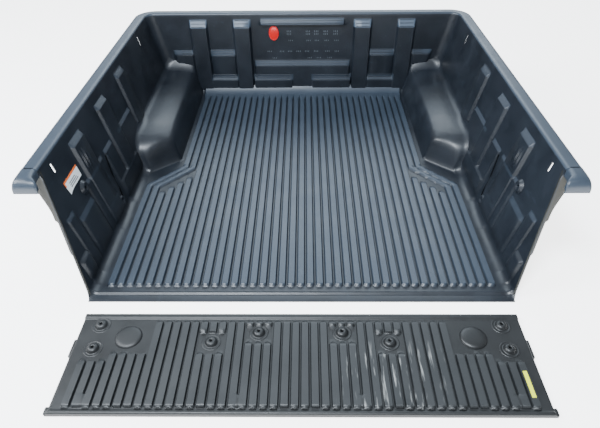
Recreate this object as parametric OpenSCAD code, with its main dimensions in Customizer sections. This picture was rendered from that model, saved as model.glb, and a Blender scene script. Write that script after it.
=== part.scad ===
// Truck bed liner: a formed tub for a pickup bed and the ribbed liner of its tailgate.
// Lengths are millimetres. X runs across the bed, Y towards the front wall, Z up.
// The tub's outline is given from its sill, the rear edge of its floor.

/* [Sheet] */
// Thickness of the formed sheet
sheet = 4; // [3:0.5:5]

/* [Tub] */
// Inside length of the floor, sill to front wall
bed_length = 1515; // [1480:5:1560]
// Inside width of the floor
floor_width = 1432; // [1424:2:1440]
// Height of the rails above the ground
wall_height = 443; // [438:1:450]
// How far each side wall leans out at the rail
wall_flare = 90; // [84:1:94]
// How far the front wall leans in at the rail
front_lean = 8; // [0:1:12]
// Width of the flat flange on top of the walls
rail_width = 52; // [46:1:60]
// Depth of the turned-down edge of the rails
rail_lip = 36; // [30:1:40]
// How far the lip of the sill reaches behind the floor
sill_reach = 32; // [26:1:36]

/* [Floor ribs] */
// Spacing of the floor ribs
rib_pitch = 33; // [32.5:0.1:33]
// Ribs on each side of the middle one
rib_side_count = 20; // [20:1:20]
// Height of a floor rib
rib_height = 9; // [7:0.5:10]
// Width of a floor rib at its foot
rib_foot = 20; // [18:0.5:21]
// Width of a floor rib at its top
rib_crown = 15; // [13:0.5:16]

/* [Wheel housings] */
// Width of the floor between the housings
housing_gap = 1124; // [1110:2:1134]
// Height of the housings
housing_height = 208; // [200:1:215]
// Distance from the sill to the housing's inner rear corner
housing_start = 803; // [795:1:810]
// Slope of the housing's rear foot, seen from above
housing_skew = 49; // [48.5:0.5:49.5]
// Radius of the housing's upper edges
housing_round = 62; // [50:1:70]

/* [Fixing holes] */
// Diameter of the fixing holes
hole_d = 8; // [6:0.5:9]
// Height of the hollow bosses round the side holes
side_boss_rise = 14; // [12:1:16]

/* [Tailgate liner] */
// Length across the bed
gate_width = 1400; // [1396:2:1410]
// Depth from the hinge edge to the lip
gate_depth = 346; // [342:1:350]
// Gap on the ground between the sill's lip and the tailgate liner
gate_gap = 62; // [56:1:66]
// Height of its flat face above the ground
gate_rise = 16; // [14:0.5:18]
// Spacing of its ribs
gate_pitch = 29; // [28.8:0.1:29]
// Height of its ribs
gate_rib_height = 7; // [5:0.5:8]
// Diameter of the two round raised discs
disc_d = 84; // [80:1:86]

/* [Small pieces] */
// Thickness of the foam strips under the rails
foam = 5; // [4:0.5:6]
// Thickness of the labels
label = 0.6; // [0.5:0.1:0.8]

/* [Hidden] */
$fn = 48;

rail_in = floor_width / 2 + wall_flare;
rail_out = rail_in + rail_width;
front_out = bed_length - front_lean + rail_width;
gate_near = -sill_reach - gate_gap;
gate_far = gate_near - gate_depth;
sill_y = -(front_out + gate_far) / 2;
lip_z = wall_height - rail_lip;
below = -60;
front_rib_count = 16;
jog_count = 2;
skew_foot = [housing_gap / 2, housing_start];
rib_rear = 36;
rib_front = bed_length - 62;
wall_edge_slope = 0.33;
wall_edge_start = -14;

// [start, end, top, depth of the sloped ledge, how far it stands in] of a raised side panel
side_columns = [[867, 968, 404, 20, 13], [598, 704, 397, 20, 13], [326, 433, 399, 20, 13]];
side_panels = [
    [656, 863, 256, 14, 7.5], [502, 596, 258, 14, 7.5], [290, 478, 259, 14, 7.5],
    [161, 294, 204, 14, 7.5], [96, 157, 246, 14, 7.5]
];
low_panels = [[506, 738, 120, 12, 14.5], [328, 440, 117, 12, 14.5], [40, 106, 118, 12, 11]];
// The same for the front wall, from the middle outwards
front_columns = [[268, 362, 411, 36, 21], [494, 590, 411, 36, 21]];
front_panels = [[355, 499, 250, 33, 10], [583, 660, 248, 30, 10], [-260, 260, 190, 30, 12.5]];
front_low_panels = [[350, 508, 114, 35, 18.5], [50, 275, 113, 35, 18.5]];

side_holes = [[279, 252], [446, 58]];
slots = [[1278, 388], [192, 397]];
// [x, distance from the tailgate liner's hinge edge]
gate_holes = [[636, 46], [636, 134], [9.5 * gate_pitch, 110], [4.5 * gate_pitch, 74]];

module from_sill() {
    translate([0, sill_y, 0]) children();
}

module both_sides() {
    children();
    mirror([1, 0, 0]) children();
}

// Extrudes a profile drawn in X and Z from y0 to y1
module along_y(y0, y1) {
    translate([0, y1, 0]) rotate([90, 0, 0]) linear_extrude(y1 - y0) children();
}

// Extrudes a profile drawn in Y and Z from x0 to x1
module along_x(x0, x1) {
    translate([x0, 0, 0]) rotate([90, 0, 90]) linear_extrude(x1 - x0) children();
}

function wall_x(z) = floor_width / 2 + wall_flare * z / wall_height;
function front_y(z) = bed_length - front_lean * z / wall_height;
function wall_edge(z) = wall_edge_start + wall_edge_slope * z;
// Distance from the sill to the skewed border of the floor at x, moved back by a distance
function skew_y(x, back) =
    skew_foot[1] + (skew_foot[0] - back * sin(housing_skew) - x) * tan(housing_skew)
    - back * cos(housing_skew);

// Corners of the web behind a wheel housing, and a point on the housing's rear edge
web_foot = [664, skew_y(664, 0), sheet];
web_rear = [722, skew_y(722, 0), sheet];
web_top = [738, 754, 102];
housing_shoulder = [755, 824, 195];

// --- Formed tub: each shape is drawn at inset t behind the visible face ---

module rib_profile(t) {
    foot = rib_foot / 2 - 0.9 * t;
    crown = rib_crown / 2 - 0.9 * t;
    polygon([
        [-foot - 1, below], [-foot - 1, sheet - t], [-crown, sheet + rib_height - t],
        [crown, sheet + rib_height - t], [foot + 1, sheet - t], [foot + 1, below]
    ]);
}

module straight_ribs(t, xs, y0, y1) {
    along_y(y0 + t, y1 - t) for (x = xs) translate([x, 0]) rib_profile(t);
}

// A rib that runs forward, slants beside the wheel housing and runs forward again
module jogged_rib(t, x_rear, x_front, back) {
    width = (rib_foot + rib_crown) / 2 - 2 * t;
    y_a = skew_y(x_rear, back);
    y_b = skew_y(x_front, back);
    top = sheet + rib_height - t;
    slant = norm([x_rear - x_front, y_b - y_a]);
    straight_ribs(t, [x_rear], rib_rear, y_a + width / 3);
    straight_ribs(t, [x_front], y_b - width / 3, rib_front);
    translate([x_rear, y_a, below]) rotate([0, 0, 180 - housing_skew])
        translate([0, -width / 2, 0]) cube([slant, width, top - below]);
}

module floor_form(t) {
    translate([-rail_out + t, -sill_reach + t, below])
        cube([2 * (rail_out - t), front_out + sill_reach - 2 * t, sheet - t - below]);
    straight_ribs(t, [for (i = [-13:13]) i * rib_pitch], rib_rear, rib_front);
    both_sides() {
        for (i = [14:18]) {
            x = i * rib_pitch;
            straight_ribs(t, [x], rib_rear, skew_y(x, 144));
        }
        straight_ribs(t, [14 * rib_pitch], skew_y(14 * rib_pitch, 144) - 30, rib_front);
        for (i = [0:jog_count - 1])
            jogged_rib(t, (rib_side_count - i) * rib_pitch, (front_rib_count - i) * rib_pitch,
                62 + i * 30);
    }
    // rolled bead along the sill
    along_x(-floor_width / 2 + t, floor_width / 2 - t)
        polygon([[-3 + t, below], [-3 + t, sheet + 4 - t], [7 - t, sheet + 4 - t],
            [13 - t, below]]);
}

module side_wall_form(t) {
    along_y(-100, front_out - t) polygon([
        [wall_x(below) + t, below], [wall_x(wall_height) + t, wall_height - t],
        [rail_out - 6, wall_height - t], [rail_out - t, wall_height - 6],
        [rail_out - t, below]
    ]);
    // fillet between wall and floor
    along_y(-sill_reach - 2 * t, bed_length + 20) polygon([
        [wall_x(0) - 16 + t, sheet - t], [wall_x(0) - 4 + t, sheet + 5 - t],
        [wall_x(22) + t, 22], [wall_x(0) + 60, 22], [wall_x(0) + 60, below],
        [wall_x(0) - 16 + t, below]
    ]);
}

module front_wall_form(t) {
    along_x(-rail_out + t, rail_out - t) polygon([
        [front_y(below) + t, below], [front_y(wall_height) + t, wall_height - t],
        [front_out - 6, wall_height - t], [front_out - t, wall_height - 6],
        [front_out - t, below]
    ]);
    along_x(-rail_out + t, rail_out - t) polygon([
        [bed_length - 56 + t, sheet - t], [bed_length - 24 + t, sheet + 10 - t],
        [bed_length + t, sheet + 36], [bed_length + 40, sheet + 36],
        [bed_length + 40, below], [bed_length - 56 + t, below]
    ]);
}

// A raised panel of the side wall with a sloped ledge on top
module side_panel(t, p) {
    in_by = p[4] - t;
    along_y(p[0] + t, p[1] - t) polygon([
        [wall_x(below) - in_by, below], [wall_x(p[2] - p[3]) - in_by, p[2] - p[3] - t],
        [wall_x(p[2]) + t, p[2] - t], [wall_x(p[2]) + 20, p[2] - t],
        [wall_x(0) + 20, below]
    ]);
}

module front_panel(t, p) {
    in_by = p[4] - t;
    along_x(p[0] + t, p[1] - t) polygon([
        [front_y(below) - in_by, below], [front_y(p[2] - p[3]) - in_by, p[2] - p[3] - t],
        [front_y(p[2]) + t, p[2] - t], [front_y(0) + 20, p[2] - t], [front_y(0) + 20, below]
    ]);
}

module front_top_bar(t) {
    along_x(-222 + t, 222 - t) polygon([
        [front_y(380) + t, 380 + t], [front_y(386) - 12 + t, 386 + t],
        [front_y(398) - 12 + t, 398 - t], [front_y(413) + t, 413 - t],
        [front_y(0) + 20, 413 - t], [front_y(0) + 20, 380 + t]
    ]);
}

// Profile of a wheel housing across the bed
module housing_section(t) {
    foot = housing_gap / 2 + t;
    crest = housing_height - t;
    r = housing_round - t;
    lean = 26;
    polygon([
        [foot, below], [foot, sheet - t], [foot + lean, crest - r],
        [foot + lean + r, crest], [rail_out - t, crest], [rail_out - t, below]
    ]);
    translate([foot + lean + r, crest - r]) circle(r);
}

// Profile of its skewed rear end; x is the distance in from the border of the floor
module housing_end_section(t) {
    crest = housing_height - t;
    r = housing_round + 20 - t;
    lean = 40;
    polygon([
        [t, below], [t, sheet - t], [lean + t, crest - r], [lean + t + r, crest],
        [1400, crest], [1400, below]
    ]);
    translate([lean + t + r, crest - r]) circle(r);
}

module housing_form(t) {
    intersection() {
        along_y(housing_start - 260, front_out - t) housing_section(t);
        translate([skew_foot[0], skew_foot[1], 0]) rotate([0, 0, -housing_skew])
            rotate([90, 0, 90]) translate([0, 0, -700]) linear_extrude(1400)
                housing_end_section(t);
        below_plane(t, web_foot, web_top, housing_shoulder);
    }
}

// Everything below the plane through three points
module below_plane(t, a, b, c) {
    n = cross(b - a, c - a);
    translate(a) rotate([0, acos(n[2] / norm(n)), atan2(n[1], n[0])])
        translate([-1500, -1500, -3000 - t]) cube(3000);
}

// Flat three-cornered web between the housing's rear foot and the side wall
module housing_web(t) {
    intersection() {
        below_plane(t, web_foot, web_rear, web_top);
        translate([housing_gap / 2, 560, below])
            cube([rail_out - housing_gap / 2 - t, 240, web_top[2] + 4 - t - below]);
    }
}

module side_boss_form(t) {
    for (h = side_holes)
        translate([wall_x(h[1]) - side_boss_rise + t, h[0], h[1]]) rotate([0, 90, 0])
            cylinder(h = 60, r = 17 - t);
}

module tub_form(t) {
    floor_form(t);
    front_wall_form(t);
    both_sides() {
        side_wall_form(t);
        for (p = concat(side_columns, side_panels, low_panels)) side_panel(t, p);
        for (p = concat(front_columns, front_panels, front_low_panels)) front_panel(t, p);
        housing_form(t);
        housing_web(t);
        side_boss_form(t);
    }
    front_top_bar(t);
}

// Rounded rear end of a rail, rolled down over the end of the wall
module rail_nose(t) {
    intersection() {
        along_x(rail_in - 25 - 3 * t, rail_out - t) union() {
            translate([82, lip_z]) circle(rail_lip - t);
            translate([82, lip_z - 60]) square([60, rail_lip + 60 - t]);
        }
        translate([0, 0, lip_z - 3 * t]) cube([rail_out, 110, rail_lip + 20]);
    }
}

// Flange that stiffens the rear edge of a side wall
module wall_return() {
    intersection() {
        along_y(-60, 140) polygon([
            [wall_x(0), 0], [wall_x(lip_z), lip_z], [wall_x(lip_z) + 26, lip_z],
            [wall_x(0) + 26, 0]
        ]);
        along_x(rail_in - 140, rail_out) polygon([
            [wall_edge(0), 0], [wall_edge(lip_z), lip_z],
            [wall_edge(lip_z) + sheet, lip_z], [wall_edge(0) + sheet, 0]
        ]);
    }
}

// Everything outside the trimmed edge of the formed sheet
module tub_trim() {
    translate([-2 * rail_out, -200, 2 * below])
        cube([4 * rail_out, 2 * bed_length, -2 * below]);
    both_sides() {
        translate([wall_x(lip_z) + 16, -200, below])
            cube([200, 2 * bed_length, lip_z - below]);
        along_x(floor_width / 2 - sheet, 2 * rail_out) polygon([
            [-300, below], [wall_edge(0), below], [wall_edge(0), 0], [wall_edge(lip_z), lip_z],
            [82, lip_z], [82, 2 * wall_height], [-300, 2 * wall_height]
        ]);
        for (s = slots)
            translate([wall_x(s[1]) - 30, s[0] - 5, s[1] - 18]) cube([60, 10, 36]);
        for (h = side_holes)
            translate([wall_x(h[1]) - 40, h[0], h[1]]) rotate([0, 90, 0])
                cylinder(h = 120, d = hole_d);
    }
    translate([-2 * rail_out, bed_length + 12, below])
        cube([4 * rail_out, 200, lip_z - below]);
}

module bed_tub() {
    color("slategray") from_sill() {
        difference() {
            tub_form(0);
            tub_form(sheet);
            tub_trim();
        }
        both_sides() {
            difference() {
                rail_nose(0);
                rail_nose(sheet);
            }
            wall_return();
        }
    }
}

// --- Tailgate liner ---

module gate_rib_profile(t) {
    foot = 9.5 - 0.9 * t;
    crown = 6.5 - 0.9 * t;
    top = gate_rise + gate_rib_height - t;
    polygon([[-foot, below], [-foot, gate_rise - t], [-crown, top], [crown, top],
        [foot, gate_rise - t], [foot, below]]);
}

// Ribs first to last, between two distances from the hinge edge
module gate_ribs(t, first, last, start, end) {
    both_sides() along_y(gate_near - end + t, gate_near - start - t) for (i = [first:last])
        translate([(i + 0.5) * gate_pitch, 0]) gate_rib_profile(t);
}

module gate_form(t) {
    rib_end = gate_depth - 26;
    translate([-gate_width / 2 + t, gate_far + t, below])
        cube([gate_width - 2 * t, gate_depth - 2 * t, gate_rise - t - below]);
    gate_ribs(t, 0, 2, 34, rib_end);
    gate_ribs(t, 3, 5, 114, rib_end);
    gate_ribs(t, 3, 5, 34, 47);
    gate_ribs(t, 6, 7, 34, rib_end);
    gate_ribs(t, 8, 10, 152, rib_end);
    gate_ribs(t, 8, 10, 34, 77);
    gate_ribs(t, 11, 15, 34, rib_end);
    gate_ribs(t, 16, 19, 152, rib_end);
    gate_ribs(t, 20, 22, 178, rib_end);
    // raised bead behind the ribs
    along_x(-gate_width / 2 + t, gate_width / 2 - t) polygon([
        [gate_near - 22 + t, below], [gate_near - 22 + t, gate_rise - t],
        [gate_near - 16 + t, gate_rise + 5 - t], [gate_near - t, gate_rise + 5 - t],
        [gate_near - t, below]
    ]);
    both_sides() {
        // wide pads that join two ribs at the lip
        for (x = [6 * gate_pitch, 21 * gate_pitch])
            translate([x - 20 + t, gate_near - rib_end + t, below])
                cube([40 - 2 * t, 32 - 2 * t, gate_rise + gate_rib_height - t - below]);
        translate([537, gate_near - 92, below])
            cylinder(d = disc_d - 2 * t, h = gate_rise + 3.5 - t - below);
        for (h = gate_holes) translate([h[0], gate_near - h[1], gate_rise - t - 6])
            cylinder(r1 = 17 - t, r2 = 9 - 0.7 * t, h = 16);
        // ears at the ends of the lip
        translate([gate_width / 2 - 30, gate_far + t, below])
            cube([40 - t, 24 - 2 * t, gate_rise - 4 - t - below]);
        // locating tab on the side
        translate([gate_width / 2 - 30, gate_near - 162 + t, below])
            cube([38 - t, 66 - 2 * t, gate_rise - 6 - t - below]);
    }
}

module tailgate_panel() {
    color("dimgray") from_sill() difference() {
        gate_form(0);
        gate_form(sheet);
        translate([-gate_width, gate_far - 100, 2 * below])
            cube([2 * gate_width, 2 * gate_depth, -2 * below]);
        both_sides() for (h = gate_holes) translate([h[0], gate_near - h[1], 0])
            cylinder(d = hole_d, h = 60);
    }
}

// --- Small pieces ---

// Oval badge on the front wall
module header_badge() {
    color("red") from_sill() translate([-150, front_y(339) - 0.1, 339])
        rotate([90 + atan(front_lean / wall_height), 0, 0])
            linear_extrude(6) scale([26, 39]) circle(1);
}

// Blank paper label on the left wall
module wall_label() {
    lean = atan(wall_flare / wall_height);
    color("white") from_sill() translate([-wall_x(310), 248, 310]) rotate([0, -lean, 0])
        translate([0.1, -56, -22]) cube([label, 112, 44]);
}

// Yellow tag on one of the tailgate liner's ribs
module tailgate_tag() {
    color("yellow") from_sill()
        translate([22.5 * gate_pitch - 6, gate_far + 48, gate_rise + gate_rib_height])
            cube([12, 84, label]);
}

// Foam strips that keep the rails off the truck's paint
module side_foam() {
    from_sill() translate([rail_in + 12, 130, wall_height - sheet - foam])
        cube([rail_width - 24, 1330, foam]);
}

module rail_foam_left() {
    color("black") mirror([1, 0, 0]) side_foam();
}

module rail_foam_right() {
    color("black") side_foam();
}

module header_foam() {
    color("black") from_sill()
        translate([-740, front_y(wall_height) + 12, wall_height - sheet - foam])
            cube([1480, rail_width - 24, foam]);
}

bed_tub();
tailgate_panel();
header_badge();
wall_label();
tailgate_tag();
rail_foam_left();
rail_foam_right();
header_foam();
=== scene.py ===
import math
import bmesh
import bpy
import numpy as np
from mathutils import Matrix, Vector


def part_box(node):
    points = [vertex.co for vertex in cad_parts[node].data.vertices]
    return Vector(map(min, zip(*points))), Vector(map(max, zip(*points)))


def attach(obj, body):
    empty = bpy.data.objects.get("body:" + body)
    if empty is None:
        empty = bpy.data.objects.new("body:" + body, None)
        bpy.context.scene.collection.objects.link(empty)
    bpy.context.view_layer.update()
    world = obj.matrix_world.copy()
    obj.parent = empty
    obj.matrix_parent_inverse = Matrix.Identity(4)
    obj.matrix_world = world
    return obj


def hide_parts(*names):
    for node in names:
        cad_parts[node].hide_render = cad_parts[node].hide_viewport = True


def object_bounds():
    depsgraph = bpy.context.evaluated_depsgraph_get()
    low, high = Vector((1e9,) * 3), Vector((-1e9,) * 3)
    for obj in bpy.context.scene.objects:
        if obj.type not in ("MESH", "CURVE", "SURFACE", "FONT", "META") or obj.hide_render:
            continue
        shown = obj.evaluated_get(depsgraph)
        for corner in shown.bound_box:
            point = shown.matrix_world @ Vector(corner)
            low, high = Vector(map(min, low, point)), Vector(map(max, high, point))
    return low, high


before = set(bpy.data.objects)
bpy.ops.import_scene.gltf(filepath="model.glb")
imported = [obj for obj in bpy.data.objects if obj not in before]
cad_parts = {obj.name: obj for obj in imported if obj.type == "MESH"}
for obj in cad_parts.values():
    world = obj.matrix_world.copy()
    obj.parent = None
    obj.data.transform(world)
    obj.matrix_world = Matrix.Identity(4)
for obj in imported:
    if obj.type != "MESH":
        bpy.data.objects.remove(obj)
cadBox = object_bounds()
print("frame loaded")

# sizes that both sheets share, in metres; y is measured forward from the sill
bed = {"length": 1.515, "floorHalf": 0.716, "wallHeight": 0.443, "flare": 0.090, "lean": 0.008,
       "sheet": 0.004, "corner": 0.045, "sillReach": 0.032, "edgeStart": -0.014, "edgeSlope": 0.33}
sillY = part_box("bed_tub")[0].y + bed["sillReach"]


def smooth(a, b, t):
    k = np.clip((np.asarray(t, float) - a) / (b - a), 0, 1)
    return k * k * (3 - 2 * k)


def softMax(a, b, r):
    h = np.clip(0.5 + 0.5 * (a - b) / r, 0, 1)
    return b + (a - b) * h + r * h * (1 - h)


def softMin(a, b, r):
    return -softMax(-a, -b, r)


def wallX(z):
    return bed["floorHalf"] + bed["flare"] * z / bed["wallHeight"]


def frontY(z):
    return bed["length"] - bed["lean"] * z / bed["wallHeight"]


def addObject(name, data):
    obj = bpy.data.objects.new(name, data)
    bpy.context.scene.collection.objects.link(obj)
    return obj


def declare(piece, node, body):
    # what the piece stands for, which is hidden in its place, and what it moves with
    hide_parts(node)
    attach(piece, body)


closestLines = 0.0011


def lineSet(edges, offsets, extra, gap):
    # grid lines beside every edge, and more wherever they stand far apart
    lines = set(round(v, 5) for v in extra)
    for e in edges:
        lines.update(round(e + o, 5) for o in offsets)
    lines = sorted(lines)
    kept = [lines[0]]
    for v in lines[1:]:
        if v - kept[-1] < closestLines:
            continue
        n = int((v - kept[-1]) / gap)
        kept += [kept[-1] + (v - kept[-1]) * k / (n + 1) for k in range(1, n + 1)] + [v]
    return np.array(kept)


def gridMesh(name, pts, flip=False, wrap=False):
    # pts is rows by columns by 3, in the sill's frame
    rows, cols = pts.shape[:2]
    verts = pts.reshape(-1, 3).copy()
    verts[:, 1] += sillY
    index = np.arange(rows * cols).reshape(rows, cols)
    if wrap:
        index = np.hstack([index, index[:, :1]])
    a, b, c, d = index[:-1, :-1], index[:-1, 1:], index[1:, 1:], index[1:, :-1]
    quads = np.stack([a, b, c, d] if not flip else [a, d, c, b], -1).reshape(-1, 4)
    mesh = bpy.data.meshes.new(name)
    mesh.from_pydata(verts.tolist(), [], quads.tolist())
    return addObject(name, mesh)


def mergeClose(obj, gap=0.00005):
    bm = bmesh.new()
    bm.from_mesh(obj.data)
    bmesh.ops.remove_doubles(bm, verts=bm.verts, dist=gap)
    bmesh.ops.dissolve_degenerate(bm, edges=bm.edges, dist=gap)
    bm.to_mesh(obj.data)
    bm.free()


def joinAll(name, objects):
    first = objects[0]
    bpy.ops.object.select_all(action="DESELECT")
    for o in objects:
        o.select_set(True)
    bpy.context.view_layer.objects.active = first
    bpy.ops.object.join()
    first.name = first.data.name = name
    return first


def bake(obj, name=None):
    # live modifiers become a plain mesh
    depsgraph = bpy.context.evaluated_depsgraph_get()
    mesh = bpy.data.meshes.new_from_object(
        obj.evaluated_get(depsgraph), preserve_all_data_layers=True, depsgraph=depsgraph)
    obj.modifiers.clear()
    obj.data = mesh
    if name:
        obj.name = mesh.name = name
    return obj


def smoothShade(obj, angle=40):
    obj.data.polygons.foreach_set("use_smooth", [True] * len(obj.data.polygons))
    obj.data.set_sharp_from_angle(angle=math.radians(angle))


boxMargin = {"low": 0.0002, "high": 0.00005}


def thicken(obj, thickness):
    mod = obj.modifiers.new("sheetThickness", "SOLIDIFY")
    mod.thickness = thickness
    mod.offset = -1
    mod.use_even_offset = False
    bake(obj)
    # nothing may stand outside the box of the imported frame
    for v in obj.data.vertices:
        for axis in range(3):
            low, high = cadBox[0][axis] + boxMargin["low"], cadBox[1][axis] - boxMargin["high"]
            v.co[axis] = min(max(v.co[axis], low), high)


# pebbled plastic of both sheets; the shares are how far the dust colour shows on scuffed places,
# and on rib tops, ledges and rails as painted highlight that partly stands for wear
plastic = {"pebble": 380, "pebbleDepth": 0.12, "dust": 9.0, "wearHighlightShare": 0.42, "scuffShare": 0.30}


def plasticFinish(name, dark, light, dust, rough, chalk=None):
    # pebbled sheet plastic: mottled colour, dusty patches, fine scuffs, and rib tops, ledges and
    # rails paled as painted highlight, partly wear
    mat = bpy.data.materials.new(name)
    mat.use_nodes = True
    nt = mat.node_tree
    nt.nodes.clear()
    out = nt.nodes.new("ShaderNodeOutputMaterial")
    bsdf = nt.nodes.new("ShaderNodeBsdfPrincipled")
    coord = nt.nodes.new("ShaderNodeTexCoord")
    link = nt.links.new

    def noise(scale, detail, rough=0.5, stretch=None):
        n = nt.nodes.new("ShaderNodeTexNoise")
        n.inputs["Scale"].default_value = scale
        n.inputs["Detail"].default_value = detail
        n.inputs["Roughness"].default_value = rough
        if stretch:
            m = nt.nodes.new("ShaderNodeMapping")
            m.inputs["Scale"].default_value = stretch
            link(coord.outputs["Object"], m.inputs["Vector"])
            link(m.outputs["Vector"], n.inputs["Vector"])
        else:
            link(coord.outputs["Object"], n.inputs["Vector"])
        return n

    def ramp(source, a, b):
        n = nt.nodes.new("ShaderNodeMapRange")
        n.inputs["From Min"].default_value = a
        n.inputs["From Max"].default_value = b
        link(source, n.inputs["Value"])
        return n.outputs["Result"]

    def mix(factor, a, b, kind="MIX"):
        n = nt.nodes.new("ShaderNodeMix")
        n.data_type = "RGBA"
        n.blend_type = kind
        link(factor, n.inputs["Factor"])
        for k, v in (("A", a), ("B", b)):
            socket = [s for s in n.inputs if s.name == k and s.type == "RGBA"][0]
            if isinstance(v, tuple):
                socket.default_value = v
            else:
                link(v, socket)
        return [s for s in n.outputs if s.type == "RGBA"][0]

    def scaled(source, k):
        n = nt.nodes.new("ShaderNodeMath")
        n.operation = "MULTIPLY"
        n.inputs[1].default_value = k
        link(source, n.inputs[0])
        return n.outputs[0]

    broad = noise(plastic["dust"], 5, 0.6)
    grain = noise(420, 3, 0.6)
    scuff = noise(60, 4, 0.7, (0.6, 0.12, 0.6))
    wearAndHighlight = nt.nodes.new("ShaderNodeAttribute")
    wearAndHighlight.attribute_name = "wearAndHighlight"
    base = mix(ramp(broad.outputs["Fac"], 0.35, 0.68), dark, light)
    # painted highlight, partly wear: rib tops, ledges and rails are mixed towards the dust colour
    base = mix(scaled(wearAndHighlight.outputs["Fac"], plastic["wearHighlightShare"]), base, dust)
    speck = scaled(ramp(grain.outputs["Fac"], 0.45, 0.8), 0.16)
    base = mix(speck, base, dust)
    scratch = scaled(ramp(scuff.outputs["Fac"], 0.62, 0.82), plastic["scuffShare"])
    base = mix(scratch, base, dust)
    if chalk:
        split = nt.nodes.new("ShaderNodeSeparateXYZ")
        link(coord.outputs["Object"], split.inputs[0])
        streak = noise(1.0, 3, 0.6, (75, 7, 1))
        mask = scaled(ramp(streak.outputs["Fac"], 0.56, 0.68), chalk["strength"])
        for axis, a, b in chalk["limits"]:
            n = nt.nodes.new("ShaderNodeMath")
            n.operation = "MULTIPLY"
            link(mask, n.inputs[0])
            link(ramp(split.outputs[axis], a, b), n.inputs[1])
            mask = n.outputs[0]
        n = nt.nodes.new("ShaderNodeMath")
        n.operation = "MULTIPLY"
        link(mask, n.inputs[0])
        link(wearAndHighlight.outputs["Fac"], n.inputs[1])
        base = mix(n.outputs[0], base, chalk["colour"])
    link(base, bsdf.inputs["Base Color"])
    link(mapTo(nt, broad.outputs["Fac"], rough - 0.05, rough + 0.07), bsdf.inputs["Roughness"])
    bsdf.inputs["Specular IOR Level"].default_value = 0.55

    pebble = nt.nodes.new("ShaderNodeTexVoronoi")
    pebble.inputs["Scale"].default_value = plastic["pebble"]
    link(coord.outputs["Object"], pebble.inputs["Vector"])
    bump = nt.nodes.new("ShaderNodeBump")
    bump.inputs["Strength"].default_value = plastic["pebbleDepth"]
    bump.inputs["Distance"].default_value = 0.0006
    link(pebble.outputs["Distance"], bump.inputs["Height"])
    wave = noise(14, 2)
    bump2 = nt.nodes.new("ShaderNodeBump")
    bump2.inputs["Strength"].default_value = 0.25
    bump2.inputs["Distance"].default_value = 0.002
    link(wave.outputs["Fac"], bump2.inputs["Height"])
    link(bump2.outputs["Normal"], bump.inputs["Normal"])
    link(bump.outputs["Normal"], bsdf.inputs["Normal"])
    link(bsdf.outputs["BSDF"], out.inputs["Surface"])
    return mat


def mapTo(nt, source, low, high):
    n = nt.nodes.new("ShaderNodeMapRange")
    n.inputs["From Min"].default_value = 0.3
    n.inputs["From Max"].default_value = 0.7
    n.inputs["To Min"].default_value = low
    n.inputs["To Max"].default_value = high
    nt.links.new(source, n.inputs["Value"])
    return n.outputs["Result"]


def plainFinish(name, colour, roughness, vary=0.08, scale=180, bumpDepth=0.1, coat=0.0):
    mat = bpy.data.materials.new(name)
    mat.use_nodes = True
    nt = mat.node_tree
    bsdf = nt.nodes["Principled BSDF"]
    coord = nt.nodes.new("ShaderNodeTexCoord")
    n = nt.nodes.new("ShaderNodeTexNoise")
    n.inputs["Scale"].default_value = scale
    n.inputs["Detail"].default_value = 4
    nt.links.new(coord.outputs["Object"], n.inputs["Vector"])
    m = nt.nodes.new("ShaderNodeMix")
    m.data_type = "RGBA"
    nt.links.new(n.outputs["Fac"], m.inputs["Factor"])
    sockets = [s for s in m.inputs if s.type == "RGBA"]
    sockets[0].default_value = (*[c * (1 - vary) for c in colour], 1)
    sockets[1].default_value = (*[min(1, c * (1 + vary)) for c in colour], 1)
    nt.links.new([s for s in m.outputs if s.type == "RGBA"][0], bsdf.inputs["Base Color"])
    bsdf.inputs["Roughness"].default_value = roughness
    bsdf.inputs["Coat Weight"].default_value = coat
    bump = nt.nodes.new("ShaderNodeBump")
    bump.inputs["Strength"].default_value = bumpDepth
    bump.inputs["Distance"].default_value = 0.0005
    nt.links.new(n.outputs["Fac"], bump.inputs["Height"])
    nt.links.new(bump.outputs["Normal"], bsdf.inputs["Normal"])
    return mat


# the third colour of each is the dust tone, which also paints the highlight on rib tops, ledges and
# rails
tubPlastic = plasticFinish("tubPlastic", (0.0055, 0.0075, 0.0110, 1), (0.0100, 0.0138, 0.0200, 1),
                           (0.054, 0.077, 0.110, 1), 0.40)
chalk = {"strength": 0.60, "colour": (0.42, 0.43, 0.42, 1),
         "limits": [("X", 0.10, 0.17), ("X", 0.44, 0.38), ("Y", sillY - 0.20, sillY - 0.26)]}
gatePlastic = plasticFinish("gatePlastic", (0.0050, 0.0056, 0.0062, 1), (0.0095, 0.0106, 0.0116, 1),
                            (0.032, 0.036, 0.039, 1), 0.46, chalk)
# olive-tinted copy of the tub plastic for the flanges behind the walls' rear edges; the tint paints
# how the flange looks in shade
returnShadedPlastic = plasticFinish("returnShadedPlastic", (0.012, 0.012, 0.008, 1), (0.022, 0.021, 0.014, 1),
                              (0.060, 0.060, 0.045, 1), 0.5)
print("finishes made")


def newTree(name, sockets):
    # geometry in and out, with a named input for each size
    tree = bpy.data.node_groups.new(name, "GeometryNodeTree")
    tree.interface.new_socket("Geometry", in_out="INPUT", socket_type="NodeSocketGeometry")
    tree.interface.new_socket("Geometry", in_out="OUTPUT", socket_type="NodeSocketGeometry")
    for label, kind in sockets:
        tree.interface.new_socket(label, in_out="INPUT", socket_type="NodeSocket" + kind)
    return tree, tree.nodes.new("NodeGroupInput"), tree.nodes.new("NodeGroupOutput")


def applyTree(obj, tree, values, name):
    mod = obj.modifiers.new(tree.name, "NODES")
    mod.node_group = tree
    for item in tree.interface.items_tree:
        if item.in_out == "INPUT" and item.name in values:
            mod[item.identifier] = values[item.name]
    obj.update_tag()
    return bake(obj, name)


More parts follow.
